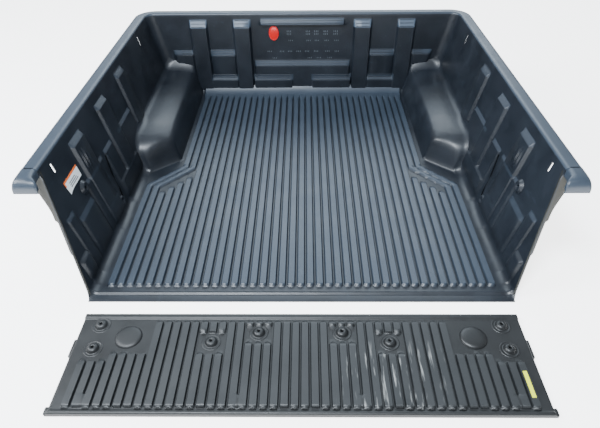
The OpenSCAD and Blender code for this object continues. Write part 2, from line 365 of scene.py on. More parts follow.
def ribTree():
    # lifts the grid wherever it lies close to a rib's centre line
    tree, inp, out = newTree("raiseRibs", [
        ("Ribs across", "Int"), ("Pitch", "Float"), ("Rear end", "Float"), ("Front end", "Float"),
        ("Other rib lines", "Object"), ("Height", "Float"), ("Foot half", "Float"),
        ("Crown half", "Float"), ("Flare", "Float"), ("Flare start", "Float"),
        ("Flare end", "Float"), ("Finish", "Material")])
    node, link = tree.nodes.new, tree.links.new

    def math2(op, a, b):
        n = node("ShaderNodeMath")
        n.operation = op
        for socket, v in zip(n.inputs, (a, b)):
            if isinstance(v, (int, float)):
                socket.default_value = v
            else:
                link(v, socket)
        return n.outputs[0]

    def vec(x, y, z):
        n = node("ShaderNodeCombineXYZ")
        for socket, v in zip(n.inputs, (x, y, z)):
            if isinstance(v, (int, float)):
                socket.default_value = v
            else:
                link(v, socket)
        return n.outputs[0]

    half = math2("MULTIPLY", math2("SUBTRACT", inp.outputs["Ribs across"], 1), 0.5)
    firstX = math2("MULTIPLY", math2("MULTIPLY", half, inp.outputs["Pitch"]), -1)
    spots = node("GeometryNodeMeshLine")
    link(inp.outputs["Ribs across"], spots.inputs["Count"])
    link(vec(firstX, 0, 0), spots.inputs["Start Location"])
    link(vec(inp.outputs["Pitch"], 0, 0), spots.inputs["Offset"])
    one = node("GeometryNodeMeshLine")
    one.inputs["Count"].default_value = 2
    link(vec(0, inp.outputs["Rear end"], 0), one.inputs["Start Location"])
    link(vec(0, math2("SUBTRACT", inp.outputs["Front end"], inp.outputs["Rear end"]), 0),
         one.inputs["Offset"])
    many = node("GeometryNodeInstanceOnPoints")
    link(spots.outputs["Mesh"], many.inputs["Points"])
    link(one.outputs["Mesh"], many.inputs["Instance"])
    real = node("GeometryNodeRealizeInstances")
    link(many.outputs["Instances"], real.inputs["Geometry"])
    info = node("GeometryNodeObjectInfo")
    link(inp.outputs["Other rib lines"], info.inputs["Object"])
    both = node("GeometryNodeJoinGeometry")
    link(real.outputs["Geometry"], both.inputs["Geometry"])
    link(info.outputs["Geometry"], both.inputs["Geometry"])

    pos = node("GeometryNodeInputPosition")
    sep = node("ShaderNodeSeparateXYZ")
    link(pos.outputs["Position"], sep.inputs[0])
    near = node("GeometryNodeProximity")
    near.target_element = "EDGES"
    link(both.outputs["Geometry"], near.inputs[0])
    link(vec(sep.outputs[0], sep.outputs[1], 0), near.inputs["Sample Position"])
    rise = node("ShaderNodeMapRange")
    rise.interpolation_type = "SMOOTHSTEP"
    wider = node("ShaderNodeMapRange")
    link(sep.outputs[1], wider.inputs["Value"])
    link(inp.outputs["Flare start"], wider.inputs["From Min"])
    link(inp.outputs["Flare end"], wider.inputs["From Max"])
    spread = math2("MULTIPLY", wider.outputs["Result"], inp.outputs["Flare"])
    link(math2("SUBTRACT", near.outputs["Distance"], spread), rise.inputs["Value"])
    link(inp.outputs["Foot half"], rise.inputs["From Min"])
    link(inp.outputs["Crown half"], rise.inputs["From Max"])
    # the rise is stored too, as painted highlight (partly wear) that pales the rib tops
    store = node("GeometryNodeStoreNamedAttribute")
    store.data_type, store.domain = "FLOAT", "POINT"
    store.inputs["Name"].default_value = "wearAndHighlight"
    link(inp.outputs["Geometry"], store.inputs["Geometry"])
    link(rise.outputs["Result"], store.inputs["Value"])
    move = node("GeometryNodeSetPosition")
    link(store.outputs["Geometry"], move.inputs["Geometry"])
    link(vec(0, 0, math2("MULTIPLY", rise.outputs["Result"], inp.outputs["Height"])),
         move.inputs["Offset"])
    last = node("GeometryNodeRealizeInstances")
    link(move.outputs["Geometry"], last.inputs["Geometry"])
    paint = node("GeometryNodeSetMaterial")
    link(last.outputs["Geometry"], paint.inputs["Geometry"])
    link(inp.outputs["Finish"], paint.inputs["Material"])
    link(paint.outputs["Geometry"], out.inputs["Geometry"])
    return tree


def spotTree():
    # one copy of a small moulding on every point, turned by the point's own angle
    tree, inp, out = newTree("setMouldings", [("Moulding", "Object"), ("Finish", "Material")])
    node, link = tree.nodes.new, tree.links.new
    info = node("GeometryNodeObjectInfo")
    link(inp.outputs["Moulding"], info.inputs["Object"])
    turn = node("GeometryNodeInputNamedAttribute")
    turn.data_type = "FLOAT_VECTOR"
    turn.inputs["Name"].default_value = "turn"
    put = node("GeometryNodeInstanceOnPoints")
    link(inp.outputs["Geometry"], put.inputs["Points"])
    link(info.outputs["Geometry"], put.inputs["Instance"])
    euler = node("FunctionNodeEulerToRotation")
    link(turn.outputs["Attribute"], euler.inputs[0])
    link(euler.outputs[0], put.inputs["Rotation"])
    real = node("GeometryNodeRealizeInstances")
    link(put.outputs["Instances"], real.inputs["Geometry"])
    paint = node("GeometryNodeSetMaterial")
    link(real.outputs["Geometry"], paint.inputs["Geometry"])
    link(inp.outputs["Finish"], paint.inputs["Material"])
    link(paint.outputs["Geometry"], out.inputs["Geometry"])
    return tree


def beadTree():
    # a round bead along every edge, sunk to its middle where the edge lies on a surface
    tree, inp, out = newTree("drawBeads", [("Radius", "Float"), ("Finish", "Material")])
    node, link = tree.nodes.new, tree.links.new
    path = node("GeometryNodeMeshToCurve")
    link(inp.outputs["Geometry"], path.inputs["Mesh"])
    section = node("GeometryNodeCurvePrimitiveCircle")
    section.inputs["Resolution"].default_value = 8
    link(inp.outputs["Radius"], section.inputs["Radius"])
    tube = node("GeometryNodeCurveToMesh")
    tube.inputs["Fill Caps"].default_value = True
    link(path.outputs["Curve"], tube.inputs["Curve"])
    link(section.outputs["Curve"], tube.inputs["Profile Curve"])
    real = node("GeometryNodeRealizeInstances")
    link(tube.outputs["Mesh"], real.inputs["Geometry"])
    paint = node("GeometryNodeSetMaterial")
    link(real.outputs["Geometry"], paint.inputs["Geometry"])
    link(inp.outputs["Finish"], paint.inputs["Material"])
    link(paint.outputs["Geometry"], out.inputs["Geometry"])
    return tree


raiseRibs = ribTree()
setMouldings = spotTree()
drawBeads = beadTree()


def pointsObject(name, places, turns=None):
    mesh = bpy.data.meshes.new(name)
    mesh.from_pydata([(x, y + sillY, z) for x, y, z in places], [], [])
    attr = mesh.attributes.new("turn", "FLOAT_VECTOR", "POINT")
    for k, _ in enumerate(places):
        attr.data[k].vector = turns[k] if turns else (0, 0, 0)
    return addObject(name, mesh)


def edgesObject(name, paths):
    # loose edges along each path of (x, y, z) points
    verts, edges = [], []
    for path in paths:
        start = len(verts)
        verts += [(x, y + sillY, z) for x, y, z in path]
        edges += [(start + k, start + k + 1) for k in range(len(path) - 1)]
    mesh = bpy.data.meshes.new(name)
    mesh.from_pydata(verts, edges, [])
    return addObject(name, mesh)


def linesObject(name, paths):
    # the same on the ground plane, as a guide that is never rendered
    obj = edgesObject(name, [[(x, y, 0) for x, y in path] for path in paths])
    obj.hide_render = True
    return obj


def lathe(name, profile, steps):
    # a turned shape about Z from (radius, height) pairs
    a = np.linspace(0, 2 * math.pi, steps, endpoint=False)
    pts = np.zeros((len(profile), steps, 3))
    for k, (r, z) in enumerate(profile):
        pts[k, :, 0], pts[k, :, 1], pts[k, :, 2] = r * np.cos(a), r * np.sin(a) - sillY, z
    obj = gridMesh(name, pts, wrap=True)
    mergeClose(obj)
    smoothShade(obj, 50)
    return obj


def remove(*objects):
    for o in objects:
        bpy.data.objects.remove(o)


# relief of the walls; each panel: start, end, top, depth of its sloped ledge, how far it stands in

walls = {
    "columns": [[0.868, 0.968, 0.404, 0.022, 0.013], [0.598, 0.705, 0.397, 0.020, 0.013],
                [0.326, 0.434, 0.399, 0.020, 0.013]],
    "panels": [[0.656, 0.863, 0.256, 0.014, 0.0075], [0.502, 0.594, 0.258, 0.014, 0.0075],
               [0.292, 0.478, 0.259, 0.014, 0.0075], [0.164, 0.292, 0.204, 0.017, 0.0075],
               [0.100, 0.157, 0.248, 0.014, 0.006]],
    "low": [[0.506, 0.738, 0.120, 0.012, 0.0145], [0.328, 0.440, 0.117, 0.012, 0.0145],
            [0.040, 0.106, 0.118, 0.013, 0.011]],
    "slots": [[1.278, 0.364, 0.410], [0.192, 0.377, 0.413]],
    "slits": [[0.350, 0.285, 0.352], [0.368, 0.285, 0.352], [0.386, 0.290, 0.345]],
    "draft": 0.010,
}
header = {
    "columns": [[0.268, 0.363, 0.411, 0.038, 0.021], [0.494, 0.590, 0.411, 0.038, 0.021]],
    "panels": [[0.360, 0.497, 0.250, 0.033, 0.010], [0.587, 0.660, 0.248, 0.030, 0.010],
               [-0.262, 0.262, 0.190, 0.030, 0.0125]],
    "low": [[0.352, 0.507, 0.114, 0.036, 0.0185], [0.050, 0.272, 0.113, 0.035, 0.0185]],
    "topBar": [-0.222, 0.222, 0.380, 0.384, 0.390, 0.413, 0.012],
    "draft": 0.009,
}


sidePanels = walls["columns"] + walls["panels"] + walls["low"]
frontPanels = header["columns"] + header["panels"] + header["low"]


def panelDepth(along, z, panel, draft):
    start, end, top, ledge, stand = panel
    across = smooth(start - 0.001, start + draft, along) * smooth(end + 0.001, end - draft, along)
    up = np.clip((top - z) / ledge, 0, 1)
    return stand * across * np.minimum(up * 1.04, 1)


def sideRelief(y, z):
    depth = np.zeros(np.broadcast(y, z).shape)
    for panel in sidePanels:
        depth = np.maximum(depth, panelDepth(y, z, panel, walls["draft"]))
    for at, low, high in walls["slits"]:
        cut = smooth(0.0055, 0.0025, np.abs(y - at)) * smooth(low - 0.003, low + 0.004, z)
        depth += 0.006 * cut * smooth(high + 0.003, high - 0.004, z)
    return depth * smooth(0.018, 0.050, z)


def frontRelief(x, z):
    depth = np.zeros(np.broadcast(x, z).shape)
    for side in (1, -1):
        for panel in frontPanels:
            depth = np.maximum(depth, panelDepth(side * x, z, panel, header["draft"]))
    start, end, z0, z1, z2, z3, stand = header["topBar"]
    across = smooth(start - 0.001, start + 0.008, x) * smooth(end + 0.001, end - 0.008, x)
    up = np.clip((z - z0) / (z1 - z0), 0, 1) * np.clip((z3 - z) / (z3 - z2), 0, 1)
    return np.maximum(depth, stand * across * up)


# wheel housing, from the bed's middle and the sill; skews are in degrees
housing = {"foot": 0.564, "start": 0.816, "skew": 40, "height": 0.211, "lean": 0.022,
           "round": 0.104, "rearLean": 0.016, "rearRound": 0.146, "rearFlat": 0.716,
           "webStart": 0.673, "ribStart": 0.806, "ribSkew": 46}
skewTan = math.tan(math.radians(housing["skew"]))
skewCos = math.cos(math.radians(housing["skew"]))


def skewLine(x, back=0.0):
    # y of the slanted line that the floor's outer ribs bend along, moved back by a distance
    a = math.radians(housing["ribSkew"])
    return housing["ribStart"] + (0.562 - back * math.sin(a) - x) * math.tan(a) - back * math.cos(a)


def roundedRise(u, lean, crest, r):
    # height of a leaning wall with a rounded top, by the distance u in from its foot
    straight = bed["sheet"] + (crest - r - bed["sheet"]) * u / lean
    arc = crest - r + np.sqrt(np.clip(r * r - (lean + r - u) ** 2, 0, None))
    return np.where(u < lean, straight, np.where(u < lean + r, arc, crest))


def planeThrough(a, b, c):
    n = np.cross(np.subtract(b, a), np.subtract(c, a))
    return lambda x, y: a[2] - (n[0] * (x - a[0]) + n[1] * (y - a[1])) / n[2]


webFoot = (0.673, 0.724, bed["sheet"])
webRear = (0.735, 0.623, bed["sheet"])
webTop = (0.739, 0.748, 0.112)
webPlane = planeThrough(webFoot, webRear, webTop)


def housingHeight(x, y):
    x = np.abs(x)
    inner = roundedRise(x - housing["foot"], housing["lean"], housing["height"], housing["round"])
    back = (y - (housing["start"] - (x - housing["foot"]) * skewTan)) * skewCos
    rear = roundedRise(back, housing["rearLean"], housing["height"], housing["rearRound"])
    across = roundedRise(y - housing["rearFlat"], housing["rearLean"], housing["height"],
                         housing["rearRound"])
    bulge = 0.014 + 0.13 * smooth(0.0, housing["height"], np.minimum(inner, rear))
    h = softMin(inner, softMin(rear, across, 0.02 + bulge), bulge)
    web = np.minimum(webPlane(x, y), 0.112)
    web = np.where(y < 0.80, web, -1)
    h = softMax(h, web, 0.008)
    return softMax(h, np.full(h.shape, bed["sheet"]), 0.010) - 0.0004


def sillHeight(y):
    # rolled bead across the sill, and the lip behind it
    bead = 0.0050 * np.exp(-((y - 0.0055) / 0.0052) ** 2)
    groove = -0.0006 * np.exp(-((y + 0.0045) / 0.004) ** 2)
    tail = -0.0006 * smooth(-0.024, -0.032, y)
    return bead + groove + tail


floor = {"pitch": 0.033, "middleRibs": 27, "rear": 0.046, "front": 1.530, "flareStart": 1.405,
         "flareEnd": 1.462, "flare": 0.0075,
         "height": 0.009, "footHalf": 0.0148, "crownHalf": 0.0100, "ribEnd": 0.144,
         "jogs": [[0.660, 0.528, 0.062], [0.627, 0.495, 0.092]],
         "wallFillet": 0.032, "filletRise": 0.028, "stretchSteps": 6, "filletSteps": 8,
         "sweepStart": 1.463, "sweepRise": 0.044}


def floorLift(y):
    # the floor sweeps up into the front wall
    t = np.clip((y - floor["sweepStart"]) / (bed["length"] - floor["sweepStart"]), 0, 1)
    return floor["sweepRise"] * t ** 1.6


def buildFloor():
    ribEdges = [k * floor["pitch"] for k in range(-20, 21)]
    cols = lineSet(ribEdges, [-0.0165, -0.0146, -0.0124, -0.0101, 0.0101, 0.0124, 0.0146, 0.0165],
                   [-0.676, 0.676], 0.02)
    low = [e for p in walls["low"] for e in (p[0], p[1] - walls["draft"])]
    rows = lineSet(low, [-0.001, 0.004, 0.0075, 0.011],
                   [-0.032, -0.029, -0.024, -0.012, -0.008, -0.0045, -0.001, 0.0018, 0.0042, 0.0068,
                    0.0095, 0.013, 0.018, 0.030, 0.033, 0.036, 0.039, 0.042, 0.046,
                    0.560, 0.905, 1.400, 1.412, 1.422, 1.430, 1.438, 1.445, 1.452, 1.458,
                    1.464, 1.470, 1.476, 1.482, 1.488, 1.494, 1.500, 1.505, 1.510,
                    bed["length"]], 0.055)
    fine = np.arange(0.566, 0.903, 0.0072)
    coarse = rows[(rows < 0.562) | (rows > 0.904)]
    rows = np.array(sorted(set(np.round(np.concatenate([coarse, fine]), 5))))
    # fixed columns, then a few that stretch to the wall, then the fillet up the wall
    n, m = len(rows), len(cols)
    sideStretch, sideFillet = floor["stretchSteps"], floor["filletSteps"]
    total = m + 2 * (sideStretch + sideFillet)
    pts = np.zeros((n, total, 3))
    innerX = cols[-1]
    for r, v in enumerate(rows):
        weight = smooth(0.36, 0.62, v) * smooth(1.16, 0.86, v)

        def place(x):
            ax = np.abs(x)
            bend = -(np.minimum(ax, housing["webStart"]) - housing["foot"]) * skewTan
            bend = bend * smooth(0.36, 0.47, ax)
            return v + weight * bend

        y = place(cols)
        z = housingHeight(cols, y)
        pts[r, sideStretch + sideFillet:sideStretch + sideFillet + m] = np.stack([cols, y, z], -1)
        for side in (1, -1):
            foot = floor["wallFillet"]
            rise = floor["filletRise"] * float(smooth(-0.026, 0.004, v))
            edge = wallX(bed["sheet"])
            for _ in range(6):
                yEdge = float(place(np.array([edge]))[0])
                zEdge = float(housingHeight(np.array([edge - foot]), np.array([yEdge]))[0])
                zEdge += float(floorLift(yEdge)) + rise
                edge = wallX(zEdge) - float(sideRelief(yEdge, zEdge))
                # the front corners are rounded
                cornerY = frontY(zEdge) - bed["corner"]
                if yEdge > cornerY:
                    k = min(1.0, (yEdge - cornerY) / bed["corner"])
                    edge = edge - bed["corner"] * (1 - math.sqrt(max(0.0, 1 - k * k)))
            s = np.linspace(0, 1, sideStretch + 1)[1:]
            xs = innerX + (edge - foot - innerX) * s
            ys = place(xs)
            zs = housingHeight(xs, ys)
            t = np.linspace(0, 1, sideFillet + 1)[1:]
            fx = ((1 - t) ** 2 * (edge - foot) + 2 * t * (1 - t) * (edge - 0.004)
                  + t ** 2 * (edge + 0.0015))
            fy = place(fx)
            fz = zs[-1] + t ** 2 * rise
            block = np.concatenate([np.stack([xs, ys, zs], -1), np.stack([fx, fy, fz], -1)])
            if side == 1:
                pts[r, m + sideStretch + sideFillet:] = block
            else:
                block[:, 0] *= -1
                pts[r, :sideStretch + sideFillet] = block[::-1]
    y = pts[..., 1]
    pts[..., 2] += floorLift(y) + sillHeight(y)
    return pts


floorPts = buildFloor()
print("floor grid", floorPts.shape)


def floorEdge(y):
    # height at which the wall starts, at distance y from the sill
    edge = floorPts[:, -1]
    return np.interp(y, edge[:, 1], edge[:, 2])


def makeFloor():
    sheet = gridMesh("floorSheet", floorPts)
    paths = []
    for side in (1, -1):
        for k in range(14, 19):
            x = k * floor["pitch"]
            paths.append([(side * x, floor["rear"]),
                          (side * x, skewLine(x, floor["ribEnd"]) - 0.010)])
        x = 14 * floor["pitch"]
        paths.append([(side * x, skewLine(x, floor["ribEnd"]) - 0.03), (side * x, floor["front"])])
        for rearX, frontX, back in floor["jogs"]:
            paths.append([(side * rearX, floor["rear"]), (side * rearX, skewLine(rearX, back)),
                          (side * frontX, skewLine(frontX, back)), (side * frontX, floor["front"])])
    lines = linesObject("sideRibLines", paths)
    sheet = applyTree(sheet, raiseRibs, {
        "Ribs across": floor["middleRibs"], "Pitch": floor["pitch"],
        "Rear end": floor["rear"] + sillY, "Front end": floor["front"] + sillY,
        "Other rib lines": lines, "Height": floor["height"], "Foot half": floor["footHalf"],
        "Crown half": floor["crownHalf"], "Flare": floor["flare"],
        "Flare start": floor["flareStart"] + sillY, "Flare end": floor["flareEnd"] + sillY,
        "Finish": tubPlastic}, "tub_floor")
    remove(lines)
    mergeClose(sheet)
    thicken(sheet, bed["sheet"] * 0.65)
    smoothShade(sheet, 55)
    return sheet


tubFloor = makeFloor()
print("floor made", len(tubFloor.data.polygons))


# the walls, the front wall and the rails are one band round the bed
rail = {"width": 0.052, "lip": 0.036, "innerRound": 0.011, "outerRound": 0.012,
        "outermost": 0.8578}


def railProfile():
    # (outward, drop from the rail's top) from the wall's inner face to the lip's lower edge
    r, q, w = rail["innerRound"], rail["outerRound"], rail["width"]
    pts = []
    for k in range(1, 6):
        a = math.radians(90 * k / 5)
        pts.append((r * (1 - math.cos(a)), r * (1 - math.sin(a))))
    for k in range(1, 4):
        s = k / 4
        pts.append((r + (w - q - r) * s, 0.0))
    for k in range(0, 6):
        a = math.radians(90 * k / 5)
        pts.append((w - q + q * math.sin(a), q * (1 - math.cos(a))))
    pts += [(w, rail["lip"] * 0.65), (w, rail["lip"] - 0.001)]
    return pts


def ledgeHighlight(along, zs, panels, columns, middle, low):
    # painted highlight: paler plastic on the sloped ledges, where they catch the light
    paintedHighlight = np.zeros(len(zs))
    for group, amount in (("columns", columns), ("panels", middle), ("low", low)):
        for start, end, top, ledge, _ in panels[group]:
            if start + 0.002 < along < end - 0.002:
                paintedHighlight = np.maximum(paintedHighlight, amount * ((zs > top - ledge + 0.001) & (zs < top + 0.001)))
    return paintedHighlight


def buildWalls():
    off = [-0.0012, 0.0022, 0.0056, 0.0092]
    starts = [p[0] for p in sidePanels]
    ends = [p[1] - walls["draft"] + 0.002 for p in sidePanels]
    cuts = [e for s in walls["slits"] for e in (s[0] - 0.0045, s[0])]
    lastY = bed["length"] - bed["lean"] - bed["corner"]
    sideY = lineSet(
        starts + ends, off,
        [bed["edgeStart"], 0.0, 0.02, 0.04, 0.06, 0.08, 0.10, 0.12, 0.14]
        + [c + o for c in cuts for o in (-0.002, 0.002, 0.0045)]
        + [s[0] + o for s in walls["slots"] for o in (-0.005, 0.005)]
        + [0.58 + 0.008 * k for k in range(45)] + [lastY], 0.04)
    sideY = sideY[sideY <= lastY + 1e-6]
    starts = [p[0] for p in frontPanels if p[0] > 0]
    ends = [p[1] - header["draft"] + 0.002 for p in frontPanels]
    ends.append(0.222 - header["draft"] + 0.002)
    half = lineSet(starts + ends, off,
                   [0.0, 0.672] + [0.556 + 0.006 * k for k in range(19)], 0.04)
    frontX = np.concatenate([-half[::-1], half[1:]])

    def rowLines(panels, more):
        edges = [p[2] for p in panels] + [p[2] - p[3] for p in panels]
        return lineSet(edges, [-0.002, 0.002], more, 0.030)

    sideZ = rowLines(sidePanels,
                     [0.0, 0.282, 0.290, 0.347, 0.355, 0.365, 0.371, 0.411, 0.432])
    frontZ = rowLines(frontPanels,
                      [0.0, 0.380, 0.384, 0.390, 0.413, 0.432])
    count = max(len(sideZ), len(frontZ))

    def resample(z):
        extra = count - len(z)
        z = list(z)
        for _ in range(extra):
            gaps = np.diff(z)
            k = int(np.argmax(gaps))
            z.insert(k + 1, (z[k] + z[k + 1]) / 2)
        return np.array(z)

    sideZ, frontZ = resample(sideZ), resample(frontZ)
    profile = railProfile()
    stations = []
    corner = bed["corner"]
    for side in (-1, 1):
        line = [("side", side, y) for y in sideY]
        turn = [("turn", side, a) for a in np.linspace(0, 90, 11)[1:-1]]
        if side == -1:
            stations += line + turn
            stations += [("front", 0, x) for x in frontX]
        else:
            stations += turn[::-1] + line[::-1]
    pts = np.zeros((len(stations), count + len(profile), 3))
    wearAndHighlight = np.zeros((len(stations), count + len(profile)))
    topZ = bed["wallHeight"]
    frontFoot = floorPts[-1]
    tuck = 0.016  # the walls run on behind the floor's fillet
    for s, (kind, side, v) in enumerate(stations):
        if kind == "side":
            zs = np.maximum(sideZ, floorEdge(v) - tuck)
            x = wallX(zs) - sideRelief(v, zs) * smooth(topZ, topZ - 0.02, zs)
            edge = bed["edgeStart"] + bed["edgeSlope"] * np.minimum(zs, 0.40)
            y = np.maximum(v, edge)
            pts[s, :count] = np.stack([side * x, y, zs], -1)
            # painted highlight on the side walls' sloped ledges
            wearAndHighlight[s, :count] += ledgeHighlight(v, zs, walls, 0.5, 0.5, 0.0)
            outward = (side, 0)
        else:
            if kind == "turn":
                a = math.radians(v)
                zRow = sideZ + (frontZ - sideZ) * smooth(0, 90, v)
                zFoot = floorEdge(bed["length"] - corner * (1 - math.sin(a)))
                zs = np.maximum(zRow, zFoot - tuck)
                cx, cy = wallX(zs) - corner, frontY(zs) - corner
                pts[s, :count] = np.stack([side * (cx + corner * math.cos(a)),
                                           cy + corner * math.sin(a), zs], -1)
                outward = (side * math.cos(a), math.sin(a))
            else:
                zFoot = np.interp(v, frontFoot[:, 0], frontFoot[:, 2])
                # beside the housings the wall runs down further
                deeper = 2.6 if abs(v) > 0.55 else 1
                zs = np.maximum(frontZ, max(zFoot - tuck * deeper, 0.004))
                reach = wallX(zs) - corner
                stretched = 0.60 + (abs(v) - 0.60) * (reach - 0.60) / 0.072
                x = np.sign(v) * np.where(abs(v) > 0.60, stretched, abs(v))
                y = frontY(zs) - frontRelief(v, zs) * smooth(topZ, topZ - 0.02, zs)
                pts[s, :count] = np.stack([x, y, zs], -1)
                # painted highlight on the front wall's sloped ledges and on its top bar
                wearAndHighlight[s, :count] += ledgeHighlight(abs(v), zs, header, 2.2, 1.0, 0.7)
                wearAndHighlight[s, :count] += 1.2 * ((zs > 0.389) & (zs < 0.414) & (abs(v) < 0.216))
                outward = (0, 1)
        # rail: from the wall's top, outwards and over; the whole rail is paled as painted highlight
        top = pts[s, count - 1].copy()
        for k, (o, drop) in enumerate(profile):
            lift = topZ - drop
            if k < 5:
                lift = top[2] + (topZ - top[2]) * (1 - drop / rail["innerRound"])
            pts[s, count + k] = (top[0] + outward[0] * o, top[1] + outward[1] * o, lift)
            wearAndHighlight[s, count + k] = 1
    return pts, wearAndHighlight


wallPts, wallHighlight = buildWalls()
wallPts[..., 0] = np.clip(wallPts[..., 0], -rail["outermost"], rail["outermost"])
print("wall grid", wallPts.shape)


nose = {"line": [(0.122, 0.4430), (0.100, 0.4430), (0.082, 0.4427), (0.070, 0.4414),
                 (0.061, 0.4384), (0.0540, 0.4332), (0.0495, 0.4262), (0.0470, 0.4170),
                 (0.0464, 0.4070), (0.0470, 0.4000)],
        "inner": 0.806, "flareIn": 0.022}


def nosePiece(side):
    # the rail's rear end widens a little, then rolls over and down
    pts = []
    for y, top in nose["line"]:
        inner = nose["inner"] - nose["flareIn"] * float(smooth(0.092, 0.056, y))
        k = max(0.0, (top - 0.400) / 0.043)
        across = [(inner - 0.0005, -0.032), (inner, -0.010), (inner + 0.003, -0.0035),
                  (inner + 0.009, 0.0), (0.822, 0.0), (0.834, 0.0), (0.8455, 0.0),
                  (0.8520, -0.0022), (0.8562, -0.0065),
                  (0.8577, -0.0120), (0.8577, -0.0240), (0.8577, -0.0355)]
        pts.append([(side * x, y, top + dz * k) for x, dz in across])
    obj = gridMesh("nose", np.array(pts), flip=(side > 0))
    # painted highlight over the whole rear end, as on the rail
    attr = obj.data.attributes.new("wearAndHighlight", "FLOAT", "POINT")
    attr.data.foreach_set("value", np.ones(len(obj.data.vertices), np.float32))
    return obj


def returnPiece(side):
    # stepped flange behind the wall's rear edge, wider towards the rail
    pts = []
    for z in np.linspace(0.0, 0.426, 73):
        wide = 0.006 + 0.006 * smooth(0.150, 0.155, z) + 0.007 * smooth(0.262, 0.267, z)
        wide = float(wide + 0.024 * smooth(0.28, 0.40, z))
        start = bed["edgeStart"] + bed["edgeSlope"] * z
        steps = ((0.0, 0.0), (0.12, 0.0012), (0.5, 0.0034), (0.85, 0.0040), (1.0, 0.0060))
        pts.append([(side * (wallX(z) + wide * k), start + back, z) for k, back in steps])
    return gridMesh("return", np.array(pts), flip=(side < 0))


def openSlots(obj):
    bm = bmesh.new()
    bm.from_mesh(obj.data)
    for at, low, high in walls["slots"]:
        gone = []
        for f in bm.faces:
            x, y, z = f.calc_center_median()
            if abs(y - sillY - at) < 0.005 and low < z < high and abs(x) < wallX(0.42):
                gone.append(f)
        bmesh.ops.delete(bm, geom=gone, context="FACES")
    bm.to_mesh(obj.data)
    bm.free()


def makeWalls():
    band = gridMesh("wallBand", wallPts, flip=True)
    # painted highlight on ledges, top bar and rails
    attr = band.data.attributes.new("wearAndHighlight", "FLOAT", "POINT")
    attr.data.foreach_set("value", wallHighlight.ravel().astype(np.float32))
    openSlots(band)
    parts = [band]
    for side in (-1, 1):
        parts += [returnPiece(side), nosePiece(side)]
    for p in parts:
        mergeClose(p)
        # the flanges take the shaded copy of the tub plastic
        p.data.materials.append(returnShadedPlastic if p.name.startswith("return") else tubPlastic)
    band = joinAll("tub_walls", parts)
    thicken(band, bed["sheet"] * 0.95)
    smoothShade(band, 50)
    return band


tubWalls = makeWalls()
print("walls made", len(tubWalls.data.polygons))

for piece in (tubFloor, tubWalls):
    declare(piece, "bed_tub", "tub")


# tailgate liner; holes and disc are measured across, and in from its hinge edge
gate = {"half": 0.700, "near": -0.094, "depth": 0.346, "rise": 0.0142, "pitch": 0.029,
        "height": 0.0088, "footHalf": 0.0128, "crownHalf": 0.0100,
        "holes": [[0.636, 0.046], [0.636, 0.134], [0.2755, 0.110], [0.1305, 0.074]],
        "disc": [0.537, 0.092, 0.042], "rimRound": 0.006, "ribEnd": 0.3275,
        "sheet": 0.0035, "rimFoot": 0.0004}


def buildGate():
    near, far = gate["near"], gate["near"] - gate["depth"]
    cols = lineSet([(k + 0.5) * gate["pitch"] for k in range(-23, 23)],
                   [-0.0145, -0.0128, -0.0114, -0.0100, 0.0100, 0.0114, 0.0128, 0.0145],
                   [-0.683, 0.683], 0.02)
    cols = cols[np.abs(cols) < 0.6831]
    side = np.array([0.688, 0.692, 0.6955, 0.698, 0.6995, 0.700])
    cols = np.concatenate([-side[::-1], cols, side])
    rel = lineSet([0.034, 0.047, 0.077, 0.114, 0.152, 0.178], [-0.004, -0.001, 0.002, 0.005],
                  [0.0, 0.0008, 0.0025, 0.005, 0.009, 0.013, 0.0165, 0.019, 0.022, 0.025, 0.028,
                   0.285, 0.289, 0.293, 0.318, 0.3215, 0.3245, 0.327, 0.3295, 0.332, 0.3345,
                   0.337, 0.340, 0.3425, 0.3445, 0.3456, 0.346], 0.014)
    X, D = np.meshgrid(cols, near - rel)
    back = near - D
    z = np.full(X.shape, gate["rise"])
    # raised bead by the hinge edge, and a smaller one by the lip
    z += 0.005 * smooth(0.022, 0.0165, back)
    z += 0.0030 * smooth(0.3325, 0.3360, back)
    for s in (1, -1):
        for px in (6, 21):
            # a pad fills the groove between two ribs near the lip
            half = gate["pitch"] / 2
            pad = smooth(half - gate["crownHalf"], half - gate["footHalf"],
                         np.abs(X - s * px * gate["pitch"]))
            pad = gate["height"] * pad
            z += pad * smooth(0.285, 0.291, back) * smooth(0.3285, 0.3225, back)
    # the rim turns down all round
    edge = np.minimum(np.minimum(gate["half"] - np.abs(X), back), gate["depth"] - back)
    q = gate["rimRound"]
    t = np.clip(edge / q, 0, 1)
    z -= q * (1 - np.sqrt(np.clip(1 - (1 - t) ** 2, 0, 1)))
    pts = np.stack([X, D, z], -1)
    # the rim drops from the outer line of the grid to the ground
    pts = np.concatenate([pts[:1], pts, pts[-1:]], 0)
    pts = np.concatenate([pts[:, :1], pts, pts[:, -1:]], 1)
    pts[0, :, 2] = pts[-1, :, 2] = gate["rimFoot"]
    pts[:, 0, 2] = pts[:, -1, 2] = gate["rimFoot"]
    return pts


